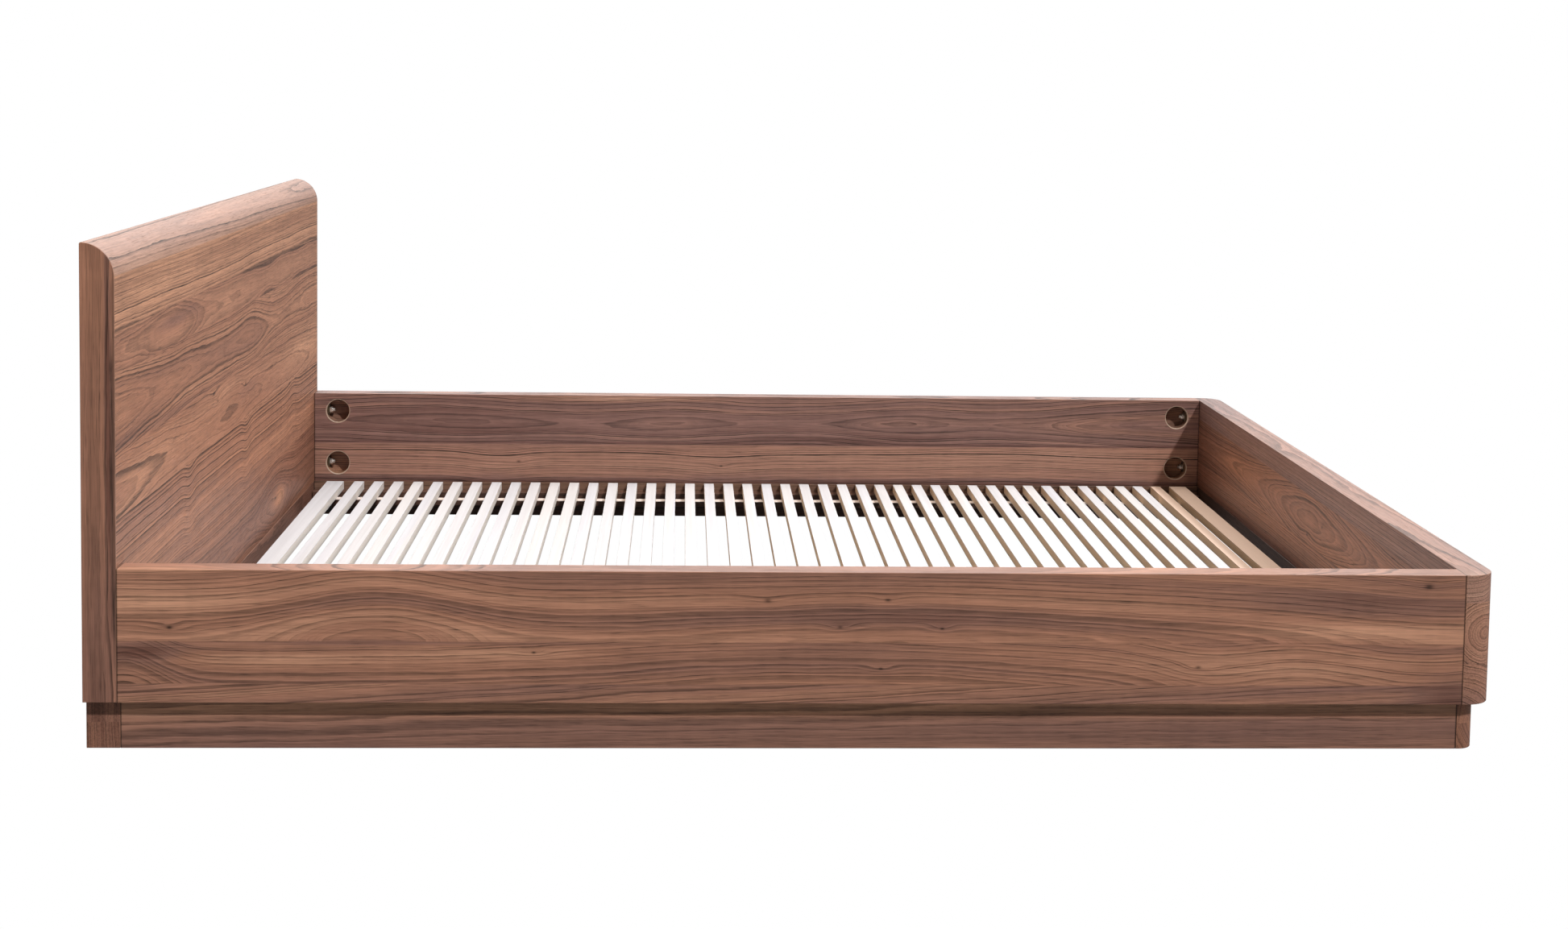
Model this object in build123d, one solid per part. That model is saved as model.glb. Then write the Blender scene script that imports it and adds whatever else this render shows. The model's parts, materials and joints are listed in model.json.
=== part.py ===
from build123d import *
import os

# A low walnut panel bed: headboard, two side rails and a footboard stand on a recessed plinth,
# and a row of birch-ply slats lies inside on two ledges and a centre beam.
# Millimetres. +Z is up, the headboard is at -X, +Y is the left side of a person lying in the bed.
# The origin is on the floor, under the middle of the bed's outline.

# ---------------------------------------------------------------- driving dimensions
MATTRESS_LENGTH = 2000
MATTRESS_WIDTH = 1600
MATTRESS_GAP = 10                # room all round the mattress

PLINTH_HEIGHT = 75
RAIL_HEIGHT = 200
RAIL_THICK = 40
HEADBOARD_TOP = 757
PANEL_THICK = 50                 # headboard and footboard
EASE = 1.0                       # rounding of every walnut edge

NOSING_RADIUS = 50               # quarter round along the headboard's top
NOSING_BACK_RADIUS = 3
LIPPING_THICK = 3

FOOT_CORNER_RADIUS = 40
PLINTH_INSET = 20
PLINTH_SIDE_THICK = 25
PLINTH_FOOT_THICK = 30
PLINTH_CORNER_RADIUS = 25

LEDGE = 30                       # square section of the slat ledges
SLAT_THICK = 18
SLAT_WIDTH = 22
SLAT_COUNT = 43
SLAT_FIRST = -907.6              # middle of the first narrow slat
SLAT_LAST = 909.9                # middle of the last narrow slat
SLAT_DRIFT = 11.5                # how far the middle slat lies footwards of an even spacing
END_SLAT_WIDTH = 38
BASE_HALF_LENGTH = 980
SLAT_END_CLEARANCE = 3
SLAT_TOP = 76
SLAT_EASE = 0.8

TAPE_WIDTH = 24
TAPE_THICK = 1
TAPE_FROM_MIDDLE = 701.5
STAPLE_CROWN = 10
STAPLE_LEG = 9
STAPLE_WIRE = (1.2, 0.6)         # width, thickness

POCKET_DIAMETER = 50
POCKET_DEPTH = 28
POCKET_CHAMFER = 1.5
POCKET_FROM_END = 53             # pocket centre to the rail's end
POCKET_HEIGHTS = (117, 235)
STUD_DIAMETER = 8
STUD_HOLE_DIAMETER = 9
STUD_DEPTH = 17                  # stud axis behind the rail's inner face
STUD_IN_PANEL = 22
STUD_SHOWN = 16                  # stud end past the pocket wall
INSERT_DIAMETER = 14
INSERT_LENGTH = 25
WASHER_THICK = 5
WASHER_WIDTH = 22
WASHER_HEIGHT = 18
WASHER_PLAY = 0.3                # between the washer's round back and the pocket wall
NUT_ACROSS_FLATS = 13
NUT_THICK = 6.5
NUT_CROWN = (9.9, 6.1)           # radii, at foot and top, of the cone that bevels the nut's corners
DOWEL_DIAMETER = 10
DOWEL_LENGTH = 40
DOWEL_HEIGHTS = (152, 205)

BEAM_WIDTH = 60
BEAM_HEIGHT = 36
HANGER_SHEET = 2.5
HANGER_REACH = 32
HANGER_WING = 24
CENTRE_FOOT_DIAMETER = 54
CENTRE_FOOT_SPACING = 500

BRACKET_LEG = 40
BRACKET_WIDTH = 20
BRACKET_SHEET = 2.5
BRACKET_RISE = 4                 # bracket's lower edge above the floor

FIT = 0.1                        # radial room round dowels, inserts and screws in wood
PAST = 1                         # how far a cut runs past the face it opens
TIP_CHAMFER = 1                  # on the ends of studs and dowels

# ---------------------------------------------------------------- worked out from them
INNER_X = MATTRESS_LENGTH / 2 + MATTRESS_GAP
INNER_Y = MATTRESS_WIDTH / 2 + MATTRESS_GAP
OUTER_X = INNER_X + PANEL_THICK
OUTER_Y = INNER_Y + RAIL_THICK
RAIL_TOP = PLINTH_HEIGHT + RAIL_HEIGHT
PLINTH_Y = OUTER_Y - PLINTH_INSET
PLINTH_INNER_Y = PLINTH_Y - PLINTH_SIDE_THICK
SLAT_BOTTOM = SLAT_TOP - SLAT_THICK
SLAT_HALF_LENGTH = PLINTH_INNER_Y - SLAT_END_CLEARANCE
SLAT_PITCH = (SLAT_LAST - SLAT_FIRST) / (SLAT_COUNT - 1)
HEAD_SLAT = -BASE_HALF_LENGTH + END_SLAT_WIDTH / 2
FOOT_SLAT = BASE_HALF_LENGTH - END_SLAT_WIDTH / 2
STUD_Y = INNER_Y + STUD_DEPTH
CORNERS = [(end, side) for end in (-1, 1) for side in (-1, 1)]   # -1 is head or right, 1 is foot or left

ON_BASE = (Align.CENTER, Align.CENTER, Align.MIN)

os.makedirs("parts", exist_ok=True)
nodes = {}


# ---------------------------------------------------------------- shared shapes
def block(x, y, z):
    """A plain box between (low, high) pairs."""
    middle = Pos((x[0] + x[1]) / 2, (y[0] + y[1]) / 2, (z[0] + z[1]) / 2)
    return middle * Box(x[1] - x[0], y[1] - y[0], z[1] - z[0])


def board(x, y, z, ease=EASE):
    """A box whose edges are all eased by the same small radius."""
    solid = block(x, y, z)
    return fillet(solid.edges(), ease)


def screw(length, shank, head):
    """A countersunk wood screw along -Z, with the top of its head at the origin and a short point."""
    sink = (head - shank) / 2
    profile = Polyline(
        (0, 0), (head / 2, 0), (shank / 2, -sink), (shank / 2, shank - length), (0, -length), close=True
    )
    return revolve(Plane.XZ * make_face(profile), Axis.Z)


def screw_hole(length, shank, head):
    """The room such a screw takes in wood or steel."""
    return screw(length + FIT, shank + 2 * FIT, head + 2 * FIT)


def aimed(place, direction):
    """The location at place that turns a screw's -Z towards direction."""
    return Plane(origin=place, z_dir=Vector(*direction) * -1).location


def group(solids):
    """Separate solids that share one node."""
    return Compound(children=list(solids))


def cut(solid, tools):
    """The solid without the room that each tool takes."""
    for tool in tools:
        solid = solid - tool
    return solid


# ---------------------------------------------------------------- rail joints
def stud_place(end, side, height, from_panel):
    """A point on a stud's axis, so far from the panel face towards the middle of the bed."""
    return (end * (INNER_X - from_panel), side * STUD_Y, height)


def along_x(diameter, length, place, end):
    """A round bar that starts at place and runs outwards, towards the given end of the bed."""
    middle = Pos(place[0] + end * length / 2, place[1], place[2])
    return middle * Rot(0, 90, 0) * Cylinder(diameter / 2, length)


POCKET_WALL = POCKET_FROM_END - POCKET_DIAMETER / 2
STUD_PLACES = [(end, side, height) for end, side in CORNERS for height in POCKET_HEIGHTS]
DOWEL_PLACES = [(end, side, height) for end, side in CORNERS for height in DOWEL_HEIGHTS]


def stud(end, side, height):
    """A stud from inside its insert to a little past the nut, chamfered at both ends."""
    shown = POCKET_WALL + STUD_SHOWN
    bar = along_x(STUD_DIAMETER, STUD_IN_PANEL + shown, stud_place(end, side, height, shown), end)
    return chamfer(bar.edges().filter_by(GeomType.CIRCLE), TIP_CHAMFER)


def stud_room(end, side, height):
    """The clearance hole for a stud, from the pocket's middle to the rail's end."""
    start = stud_place(end, side, height, POCKET_FROM_END)
    return along_x(STUD_HOLE_DIAMETER, POCKET_FROM_END + PAST, start, end)


def insert_room(end, side, height):
    """The hole for a threaded insert in the headboard or footboard."""
    start = stud_place(end, side, height, PAST)
    return along_x(INSERT_DIAMETER + 2 * FIT, INSERT_LENGTH + PAST + FIT, start, end)


def threaded_insert(end, side, height):
    """A plain threaded insert, flush with the panel's face, bored for the stud."""
    start = stud_place(end, side, height, 0)
    body = along_x(INSERT_DIAMETER, INSERT_LENGTH, start, end)
    return body - along_x(STUD_DIAMETER + 2 * FIT, INSERT_LENGTH, start, end)


def half_moon_washer(end, side, height):
    """A washer whose round back lies against the pocket wall and whose flat front takes the nut."""
    radius = POCKET_DIAMETER / 2
    strip = Pos(radius - WASHER_THICK / 2, 0) * Rectangle(WASHER_THICK, WASHER_WIDTH)
    outline = Circle(radius - WASHER_PLAY) & strip
    moon = extrude(outline, WASHER_HEIGHT / 2, both=True)
    moon = moon - Rot(0, 90, 0) * Cylinder(STUD_DIAMETER / 2 + FIT, 4 * radius)
    place = stud_place(end, side, height, POCKET_FROM_END)
    return Pos(*place) * Rot(90, 0, 0) * Rot(0, 0, 0 if end > 0 else 180) * moon


def nut(end, side, height):
    """A hexagon nut against the washer's flat."""
    outline = RegularPolygon(NUT_ACROSS_FLATS / 2, 6, major_radius=False) - Circle(STUD_DIAMETER / 2 + FIT)
    body = extrude(outline, NUT_THICK)
    crown = Cone(*NUT_CROWN, NUT_THICK, align=ON_BASE)
    start = stud_place(end, side, height, POCKET_WALL + WASHER_THICK)
    turn = Rot(0, -90 * end, 0)
    return Pos(*start) * turn * (body & crown)


def dowel(end, side, height, room=0):
    """A wooden dowel, half in the rail and half in the panel."""
    start = (end * (INNER_X - DOWEL_LENGTH / 2 - room), side * (INNER_Y + RAIL_THICK / 2), height)
    bar = along_x(DOWEL_DIAMETER + 2 * room, DOWEL_LENGTH + 2 * room, start, end)
    return bar if room else chamfer(bar.edges().filter_by(GeomType.CIRCLE), TIP_CHAMFER)


def panel_holes(end):
    """What the headboard (-1) or footboard (1) is drilled for on its inner face."""
    inserts = [insert_room(*place) for place in STUD_PLACES if place[0] == end]
    dowels = [dowel(*place, room=FIT) for place in DOWEL_PLACES if place[0] == end]
    return inserts + dowels


nodes["rail_studs"] = group(stud(*place) for place in STUD_PLACES)
nodes["stud_inserts"] = group(threaded_insert(*place) for place in STUD_PLACES)
nodes["half_moon_washers"] = group(half_moon_washer(*place) for place in STUD_PLACES)
nodes["stud_nuts"] = group(nut(*place) for place in STUD_PLACES)
nodes["rail_dowels"] = group(dowel(*place) for place in DOWEL_PLACES)

# ---------------------------------------------------------------- plinth screws, from below into the frame
PLINTH_SCREW = (80, 5, 10)       # length, shank, head
MOUTH_ROOM = 1                   # radial room round a sunk screw's head
PLINTH_SCREW_SUNK = 25
PLINTH_HEAD_X = OUTER_X - PANEL_THICK / 2
PLINTH_FOOT_X = INNER_X + PLINTH_FOOT_THICK / 2
RAIL_SCREW_Y = PLINTH_Y - PLINTH_SIDE_THICK / 2
PLINTH_SCREW_PLACES = (
    [(x, side * RAIL_SCREW_Y) for side in (-1, 1) for x in (-750, -250, 250, 750)]
    + [(-PLINTH_HEAD_X, y) for y in (-600, 0, 600)]
    + [(PLINTH_FOOT_X, y) for y in (-600, 0, 600)]
)
UP = (0, 0, 1)
plinth_screw_places = [aimed((x, y, PLINTH_SCREW_SUNK), UP) for x, y in PLINTH_SCREW_PLACES]
nodes["plinth_screws"] = group(place * screw(*PLINTH_SCREW) for place in plinth_screw_places)
screw_mouth = Cylinder(PLINTH_SCREW[2] / 2 + MOUTH_ROOM, PLINTH_SCREW_SUNK + PAST, align=ON_BASE)
plinth_screw_holes = [place * screw_hole(*PLINTH_SCREW) for place in plinth_screw_places]
plinth_screw_mouths = [Pos(x, y, -PAST) * screw_mouth for x, y in PLINTH_SCREW_PLACES]


def near(tools, x=None, y=None):
    """The tools whose middle lies at the given place, so that a board is cut only by its own."""
    def fits(tool):
        middle = tool.center(CenterOf.BOUNDING_BOX)
        return (x is None or abs(middle.X - x) < 1) and (y is None or abs(middle.Y - y) < 1)
    return [tool for tool in tools if fits(tool)]


# ---------------------------------------------------------------- headboard
def headboard_outline():
    """The headboard's end outline in the XZ plane: flat faces, a quarter round in front of the top."""
    back, front = -OUTER_X, -INNER_X
    lines = [
        Line((front, PLINTH_HEIGHT), (front, HEADBOARD_TOP - NOSING_RADIUS)),
        CenterArc((back, HEADBOARD_TOP - NOSING_RADIUS), NOSING_RADIUS, 0, 90),
        Line((back, HEADBOARD_TOP), (back, PLINTH_HEIGHT)),
        Line((back, PLINTH_HEIGHT), (front, PLINTH_HEIGHT)),
    ]
    face = make_face(Wire(lines))
    corner = face.vertices().sort_by(Axis.Y)[-1]
    return fillet(corner, NOSING_BACK_RADIUS)


PANEL_HALF_WIDTH = OUTER_Y - LIPPING_THICK
NOSING_SEAM = HEADBOARD_TOP - NOSING_RADIUS
headboard_body = extrude(Plane.XZ * headboard_outline(), PANEL_HALF_WIDTH, both=True)
above_seam = block(
    (-OUTER_X - PAST, -INNER_X + PAST), (-OUTER_Y, OUTER_Y), (NOSING_SEAM, HEADBOARD_TOP + PAST)
)

panel = headboard_body - above_seam
foot_edges = panel.edges().group_by(Axis.Z)[0].filter_by(Axis.Y)
panel = fillet(foot_edges, EASE)
nodes["headboard_panel"] = cut(panel, panel_holes(-1) + near(plinth_screw_holes, x=-PLINTH_HEAD_X))
nodes["headboard_nosing"] = headboard_body & above_seam


def lipping(side):
    """The strip that covers one end of the headboard, eased all round its outer face."""
    strip = Plane.XZ.offset(-side * OUTER_Y) * headboard_outline()
    solid = extrude(strip, side * LIPPING_THICK)
    outer = solid.faces().sort_by(Axis.Y)[-1 if side > 0 else 0]
    return fillet(outer.edges(), EASE)


nodes["headboard_lipping_right"] = lipping(-1)
nodes["headboard_lipping_left"] = lipping(1)


# ---------------------------------------------------------------- side rails
def pocket(end, side, height):
    """A round pocket in the rail's inner face, with a chamfered rim."""
    bore = Cylinder(POCKET_DIAMETER / 2, POCKET_DEPTH + PAST, align=ON_BASE)
    rim = Cone(POCKET_DIAMETER / 2, POCKET_DIAMETER / 2 + POCKET_CHAMFER, POCKET_CHAMFER, align=ON_BASE)
    tool = Pos(0, 0, -POCKET_DEPTH) * bore + Pos(0, 0, -POCKET_CHAMFER) * rim
    mouth = Plane(origin=(end * (INNER_X - POCKET_FROM_END), side * INNER_Y, height), z_dir=(0, -side, 0))
    return mouth.location * tool


def side_rail(side):
    """A side rail between headboard and footboard."""
    rail_y = sorted((side * INNER_Y, side * OUTER_Y))
    rail = board((-INNER_X, INNER_X), rail_y, (PLINTH_HEIGHT, RAIL_TOP))
    studs = [place for place in STUD_PLACES if place[1] == side]
    dowels = [dowel(*place, room=FIT) for place in DOWEL_PLACES if place[1] == side]
    tools = [pocket(*place) for place in studs] + [stud_room(*place) for place in studs] + dowels
    return cut(rail, tools + near(plinth_screw_holes, y=side * RAIL_SCREW_Y))


nodes["side_rail_right"] = side_rail(-1)
nodes["side_rail_left"] = side_rail(1)


# ---------------------------------------------------------------- footboard and plinth
def rounded_cross_board(x, half_width, z, radius):
    """A board across the bed whose two outer vertical corners are rounded."""
    solid = block(x, (-half_width, half_width), z)
    outer = solid.edges().filter_by(Axis.Z).group_by(Axis.X)[-1]
    solid = fillet(outer, radius)
    return fillet(solid.edges().filter_by(lambda edge: edge.length > 2 * EASE), EASE)


footboard = rounded_cross_board((INNER_X, OUTER_X), OUTER_Y, (PLINTH_HEIGHT, RAIL_TOP), FOOT_CORNER_RADIUS)
nodes["footboard"] = cut(footboard, panel_holes(1) + near(plinth_screw_holes, x=PLINTH_FOOT_X))

PLINTH_Z = (0, PLINTH_HEIGHT)
plinth_rooms = plinth_screw_holes + plinth_screw_mouths

LEDGE_SCREW = (45, 4, 8)
LEDGE_SCREW_STEP = 300
LEDGE_END_GAP = 2
LEDGE_Z = (SLAT_BOTTOM - LEDGE, SLAT_BOTTOM)
LEDGE_INNER_Y = PLINTH_INNER_Y - LEDGE
ledge_screw_rows = {
    side: [
        aimed((i * LEDGE_SCREW_STEP, side * LEDGE_INNER_Y, sum(LEDGE_Z) / 2), (0, side, 0))
        for i in range(-3, 4)
    ]
    for side in (-1, 1)
}
ledge_screw_places = ledge_screw_rows[-1] + ledge_screw_rows[1]
nodes["ledge_screws"] = group(place * screw(*LEDGE_SCREW) for place in ledge_screw_places)


def slat_ledge(side):
    """The batten that carries the slat ends on one side."""
    y = sorted((side * LEDGE_INNER_Y, side * PLINTH_INNER_Y))
    batten = board((LEDGE_END_GAP - INNER_X, INNER_X - LEDGE_END_GAP), y, LEDGE_Z)
    return cut(batten, [place * screw_hole(*LEDGE_SCREW) for place in ledge_screw_rows[side]])


nodes["slat_ledge_right"] = slat_ledge(-1)
nodes["slat_ledge_left"] = slat_ledge(1)

# ---------------------------------------------------------------- corner brackets inside the plinth
BRACKET_SCREW = (16, 4, 7)
BRACKET_HOLES = (14, 30)
BRACKET_Z = BRACKET_RISE + BRACKET_WIDTH / 2


def bracket_screw_places(end, side):
    """Where the screws of one corner bracket go: two in the cross board, two in the side board."""
    face_x = end * (INNER_X - BRACKET_SHEET)
    face_y = side * (PLINTH_INNER_Y - BRACKET_SHEET)
    cross = [aimed((face_x, side * (PLINTH_INNER_Y - d), BRACKET_Z), (end, 0, 0)) for d in BRACKET_HOLES]
    along = [aimed((end * (INNER_X - d), face_y, BRACKET_Z), (0, side, 0)) for d in BRACKET_HOLES]
    return cross + along


def corner_bracket(end, side):
    """A bent steel angle in one inner corner of the plinth."""
    x = sorted((end * INNER_X, end * (INNER_X - BRACKET_LEG)))
    y = sorted((side * PLINTH_INNER_Y, side * (PLINTH_INNER_Y - BRACKET_LEG)))
    past_leg = BRACKET_LEG + PAST
    hollow_x = sorted((end * (INNER_X - BRACKET_SHEET), end * (INNER_X - past_leg)))
    hollow_y = sorted((side * (PLINTH_INNER_Y - BRACKET_SHEET), side * (PLINTH_INNER_Y - past_leg)))
    z = (BRACKET_RISE, BRACKET_RISE + BRACKET_WIDTH)
    angle = block(x, y, z) - block(hollow_x, hollow_y, (0, PLINTH_HEIGHT))
    return cut(angle, [place * screw_hole(*BRACKET_SCREW) for place in bracket_screw_places(end, side)])


END_NAMES = {-1: "head", 1: "foot"}
SIDE_NAMES = {-1: "right", 1: "left"}
for end, side in CORNERS:
    nodes[f"corner_bracket_{END_NAMES[end]}_{SIDE_NAMES[side]}"] = corner_bracket(end, side)
bracket_places = [place for corner in CORNERS for place in bracket_screw_places(*corner)]
nodes["bracket_screws"] = group(place * screw(*BRACKET_SCREW) for place in bracket_places)
bracket_holes = [place * screw_hole(*BRACKET_SCREW) for place in bracket_places]

# ---------------------------------------------------------------- centre beam, hangers and feet
BEAM_BOTTOM = SLAT_BOTTOM - BEAM_HEIGHT
BEAM_HALF_LENGTH = INNER_X - HANGER_SHEET
HANGER_SCREW = (18, 4, 7)
HANGER_TOP = SLAT_BOTTOM - 6
HANGER_SCREW_HEIGHTS = (BEAM_BOTTOM + 5, HANGER_TOP - 8)
FOOT_SCREW = (38, 4.5, 9)
FOOT_SCREW_SUNK = 4
CENTRE_FOOT_EASE = 2


def hanger_screw_places(end):
    """Two screws in each wing of a hanger."""
    x = end * (INNER_X - HANGER_SHEET)
    wing_y = BEAM_WIDTH / 2 + HANGER_SHEET + HANGER_WING / 2
    return [aimed((x, side * wing_y, z), (end, 0, 0)) for side in (-1, 1) for z in HANGER_SCREW_HEIGHTS]


def beam_hanger(end):
    """A pressed steel hanger: a winged back plate with a trough that takes the beam's end."""
    back_x = sorted((end * INNER_X, end * (INNER_X - HANGER_SHEET)))
    trough_x = sorted((end * (INNER_X - HANGER_SHEET), end * (INNER_X - HANGER_REACH)))
    low = BEAM_BOTTOM - HANGER_SHEET
    trough_y = BEAM_WIDTH / 2 + HANGER_SHEET
    back = block(back_x, (-trough_y - HANGER_WING, trough_y + HANGER_WING), (low, HANGER_TOP))
    trough = block(trough_x, (-trough_y, trough_y), (low, HANGER_TOP))
    room = block(trough_x, (-BEAM_WIDTH / 2, BEAM_WIDTH / 2), (BEAM_BOTTOM, HANGER_TOP + PAST))
    holes = [place * screw_hole(*HANGER_SCREW) for place in hanger_screw_places(end)]
    return cut(back + (trough - room), holes)


nodes["beam_hanger_head"] = beam_hanger(-1)
nodes["beam_hanger_foot"] = beam_hanger(1)
hanger_places = hanger_screw_places(-1) + hanger_screw_places(1)
nodes["hanger_screws"] = group(place * screw(*HANGER_SCREW) for place in hanger_places)
hanger_holes = [place * screw_hole(*HANGER_SCREW) for place in hanger_places]

foot_places = [aimed((i * CENTRE_FOOT_SPACING, 0, FOOT_SCREW_SUNK), UP) for i in (-1, 0, 1)]
foot_holes = [place * screw_hole(*FOOT_SCREW) for place in foot_places]
nodes["foot_screws"] = group(place * screw(*FOOT_SCREW) for place in foot_places)
foot_mouth = Cylinder(FOOT_SCREW[2] / 2 + MOUTH_ROOM, FOOT_SCREW_SUNK + PAST, align=ON_BASE)
for number, i in enumerate((-1, 0, 1), start=1):
    puck = Cylinder(CENTRE_FOOT_DIAMETER / 2, BEAM_BOTTOM, align=ON_BASE)
    puck = fillet(puck.edges().group_by(Axis.Z)[0], CENTRE_FOOT_EASE)
    puck = Pos(i * CENTRE_FOOT_SPACING, 0, 0) * puck
    mouth = Pos(i * CENTRE_FOOT_SPACING, 0, -PAST) * foot_mouth
    nodes[f"centre_foot_{number}"] = cut(puck, near(foot_holes, x=i * CENTRE_FOOT_SPACING) + [mouth])

beam_y = (-BEAM_WIDTH / 2, BEAM_WIDTH / 2)
beam = board((-BEAM_HALF_LENGTH, BEAM_HALF_LENGTH), beam_y, (BEAM_BOTTOM, SLAT_BOTTOM))
nodes["centre_beam"] = cut(beam, foot_holes)

# ---------------------------------------------------------------- plinth boards
plinth_head = board((-OUTER_X, -INNER_X), (-PLINTH_Y, PLINTH_Y), PLINTH_Z)
nodes["plinth_head"] = cut(plinth_head, near(plinth_rooms, x=-PLINTH_HEAD_X) + bracket_holes + hanger_holes)
plinth_foot_x = (INNER_X, INNER_X + PLINTH_FOOT_THICK)
plinth_foot = rounded_cross_board(plinth_foot_x, PLINTH_Y, PLINTH_Z, PLINTH_CORNER_RADIUS)
nodes["plinth_foot"] = cut(plinth_foot, near(plinth_rooms, x=PLINTH_FOOT_X) + bracket_holes + hanger_holes)
for side in (-1, 1):
    side_y = sorted((side * PLINTH_INNER_Y, side * PLINTH_Y))
    side_board = board((-INNER_X, INNER_X), side_y, PLINTH_Z)
    ledge_holes = [place * screw_hole(*LEDGE_SCREW) for place in ledge_screw_rows[side]]
    rooms = near(plinth_rooms, y=side * RAIL_SCREW_Y) + bracket_holes + ledge_holes
    nodes[f"plinth_side_{SIDE_NAMES[side]}"] = cut(side_board, rooms)

# ---------------------------------------------------------------- slats, tape and staples
width, thick = STAPLE_WIRE
staple_crown = block((-width / 2, width / 2), (-STAPLE_CROWN / 2, STAPLE_CROWN / 2), (-thick, 0))
leg_y = (STAPLE_CROWN / 2 - thick, STAPLE_CROWN / 2)
staple_leg = block((-width / 2, width / 2), leg_y, (0, STAPLE_LEG))
staple = staple_crown + staple_leg + mirror(staple_leg, about=Plane.XZ)
staple_offsets = [Pos(0, side * TAPE_FROM_MIDDLE, SLAT_BOTTOM - TAPE_THICK) for side in (-1, 1)]
slat_staples = [place * staple for place in staple_offsets]


def slat(slat_width):
    """A ply slat across the bed, over X = 0, with the slots that its two staples leave."""
    y = (-SLAT_HALF_LENGTH, SLAT_HALF_LENGTH)
    strip = board((-slat_width / 2, slat_width / 2), y, (SLAT_BOTTOM, SLAT_TOP), SLAT_EASE)
    return cut(strip, slat_staples)


def slat_x(number):
    """The middle of a narrow slat, counted from the head. The spacing narrows a little towards the foot."""
    share = number / (SLAT_COUNT - 1)
    return SLAT_FIRST + number * SLAT_PITCH + 4 * SLAT_DRIFT * share * (1 - share)


NARROW_SLATS = [slat_x(number) for number in range(SLAT_COUNT)]
narrow_slat = slat(SLAT_WIDTH)
end_slat = slat(END_SLAT_WIDTH)
nodes["slats"] = group(Pos(x, 0, 0) * narrow_slat for x in NARROW_SLATS)
nodes["slat_head_end"] = Pos(HEAD_SLAT, 0, 0) * end_slat
nodes["slat_foot_end"] = Pos(FOOT_SLAT, 0, 0) * end_slat

all_slats = [HEAD_SLAT, *NARROW_SLATS, FOOT_SLAT]
nodes["tape_staples"] = group(Pos(x, 0, 0) * one for x in all_slats for one in slat_staples)
for side, place in zip((-1, 1), staple_offsets):
    tape_y = (side * TAPE_FROM_MIDDLE - TAPE_WIDTH / 2, side * TAPE_FROM_MIDDLE + TAPE_WIDTH / 2)
    tape = block((-BASE_HALF_LENGTH, BASE_HALF_LENGTH), tape_y, (SLAT_BOTTOM - TAPE_THICK, SLAT_BOTTOM))
    side_staples = [Pos(x, 0, 0) * place * staple for x in all_slats]
    nodes[f"slat_tape_{SIDE_NAMES[side]}"] = cut(tape, side_staples)

for name, shape in nodes.items():
    export_step(shape, f"parts/{name}.step")
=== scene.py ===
import json
import math

import bpy
from mathutils import Matrix, Vector


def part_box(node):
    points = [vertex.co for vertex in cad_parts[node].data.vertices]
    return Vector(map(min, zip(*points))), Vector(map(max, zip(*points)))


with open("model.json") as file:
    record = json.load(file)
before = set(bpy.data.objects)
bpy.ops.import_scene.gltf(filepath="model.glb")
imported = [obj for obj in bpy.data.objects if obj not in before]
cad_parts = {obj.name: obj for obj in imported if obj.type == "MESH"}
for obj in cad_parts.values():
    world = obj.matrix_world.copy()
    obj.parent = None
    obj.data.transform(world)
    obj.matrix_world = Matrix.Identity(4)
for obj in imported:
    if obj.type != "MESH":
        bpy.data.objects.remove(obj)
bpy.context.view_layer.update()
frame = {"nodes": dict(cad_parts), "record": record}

NODES = frame["nodes"]

# ------------------------------------------------------------------ camera
CAMERA_PLACE = Vector((-0.1834, -3.9354, 1.0287))                 # metres
CAMERA_YAW, CAMERA_PITCH, CAMERA_ROLL = 0.048, 0.0715, 0.0161     # radians, from a level view along +Y
CAMERA_LENS, CAMERA_SENSOR = 48.25, 36.0                          # millimetres
CAMERA_SHIFT_Y = -0.1583


def make_camera():
    """The bed's right side, seen from a little above the headboard's top and looking slightly down."""
    data = bpy.data.cameras.new("camera")
    data.lens, data.sensor_width = CAMERA_LENS, CAMERA_SENSOR
    data.shift_y = CAMERA_SHIFT_Y
    data.clip_start, data.clip_end = 0.05, 200
    forward = Vector((
        math.sin(CAMERA_YAW) * math.cos(CAMERA_PITCH),
        math.cos(CAMERA_YAW) * math.cos(CAMERA_PITCH),
        -math.sin(CAMERA_PITCH),
    ))
    right = Vector((math.cos(CAMERA_YAW), -math.sin(CAMERA_YAW), 0))
    up = right.cross(forward)
    turned_right = right * math.cos(CAMERA_ROLL) + up * math.sin(CAMERA_ROLL)
    turned_up = up * math.cos(CAMERA_ROLL) - right * math.sin(CAMERA_ROLL)
    camera = bpy.data.objects.new("camera", data)
    axes = Matrix((turned_right, turned_up, -forward)).transposed().to_4x4()
    camera.matrix_world = Matrix.Translation(CAMERA_PLACE) @ axes
    bpy.context.scene.collection.objects.link(camera)
    bpy.context.scene.camera = camera


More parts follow.
